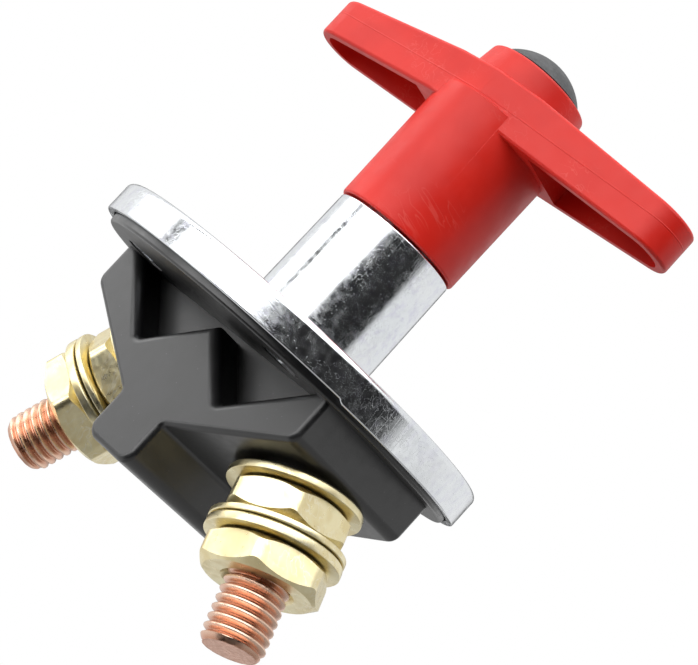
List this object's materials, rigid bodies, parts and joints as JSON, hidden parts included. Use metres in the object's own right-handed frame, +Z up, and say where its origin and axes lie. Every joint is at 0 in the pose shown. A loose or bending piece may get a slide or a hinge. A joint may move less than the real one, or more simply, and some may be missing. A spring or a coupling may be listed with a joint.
{
  "type": "battery switch",
  "caption": "Rotary battery isolator: plated round flange with a neck, red tee handle, black housing and two angled copper terminal studs with brass-coloured nuts and washers.",
  "frame": {"origin": "centre of the flange's panel face, on the spindle's axis", "axes": "+Z up the spindle towards the handle, X through both terminal studs, -Y the front face of the housing"},
  "size_m": [0.077, 0.0724, 0.1031],
  "materials": {
    "red_plastic": "moulded, satin gloss",
    "black_plastic": "moulded, glossy with a fine grain",
    "black_cap": "fine spark texture",
    "bright_zinc": "bright plated with fine scratches",
    "yellow_zinc": "yellow passivated zinc",
    "copper": null,
    "steel": "machined",
    "nylon": "natural moulded nylon",
    "black_rubber": "matt"
  },
  "bodies": {
    "base": {"base_washer_left": "yellow_zinc", "base_washer_right": "yellow_zinc", "flange": "bright_zinc", "housing": "black_plastic", "housing_screw_1": "bright_zinc", "housing_screw_2": "bright_zinc", "housing_screw_3": "bright_zinc", "housing_screw_4": "bright_zinc", "housing_seal": "black_rubber", "inner_nut_left": "yellow_zinc", "inner_nut_right": "yellow_zinc", "lug_washer_left": "yellow_zinc", "lug_washer_right": "yellow_zinc", "outer_nut_left": "yellow_zinc", "outer_nut_right": "yellow_zinc", "return_spring": "steel", "spring_seat": "steel", "spring_washer_left": "yellow_zinc", "spring_washer_right": "yellow_zinc", "stud_left": "copper", "stud_right": "copper", "thrust_washer": "nylon"},
    "rotor": {"handle": "red_plastic", "handle_screw": "steel", "handle_cap": "black_cap", "spindle": "steel", "spindle_o_ring": "black_rubber", "cam": "nylon"},
    "contact": {"contact_carrier": "nylon", "contact_bridge": "copper"}
  },
  "joints": [
    {"name": "handle_turn", "type": "hinge", "parent": "base", "child": "rotor", "pos_m": [0, 0, 0], "axis": [0, 0, -1], "range_deg": [0, 90]},
    {"name": "contact_slide", "type": "slide", "parent": "base", "child": "contact", "axis": [0, 0, -1], "range_m": [0, 0.0025], "deforming": ["return_spring"]}
  ],
  "couplings": [
    {"joint": "contact_slide", "follows": "handle_turn", "m_per_rad": 0.0015915}
  ]
}
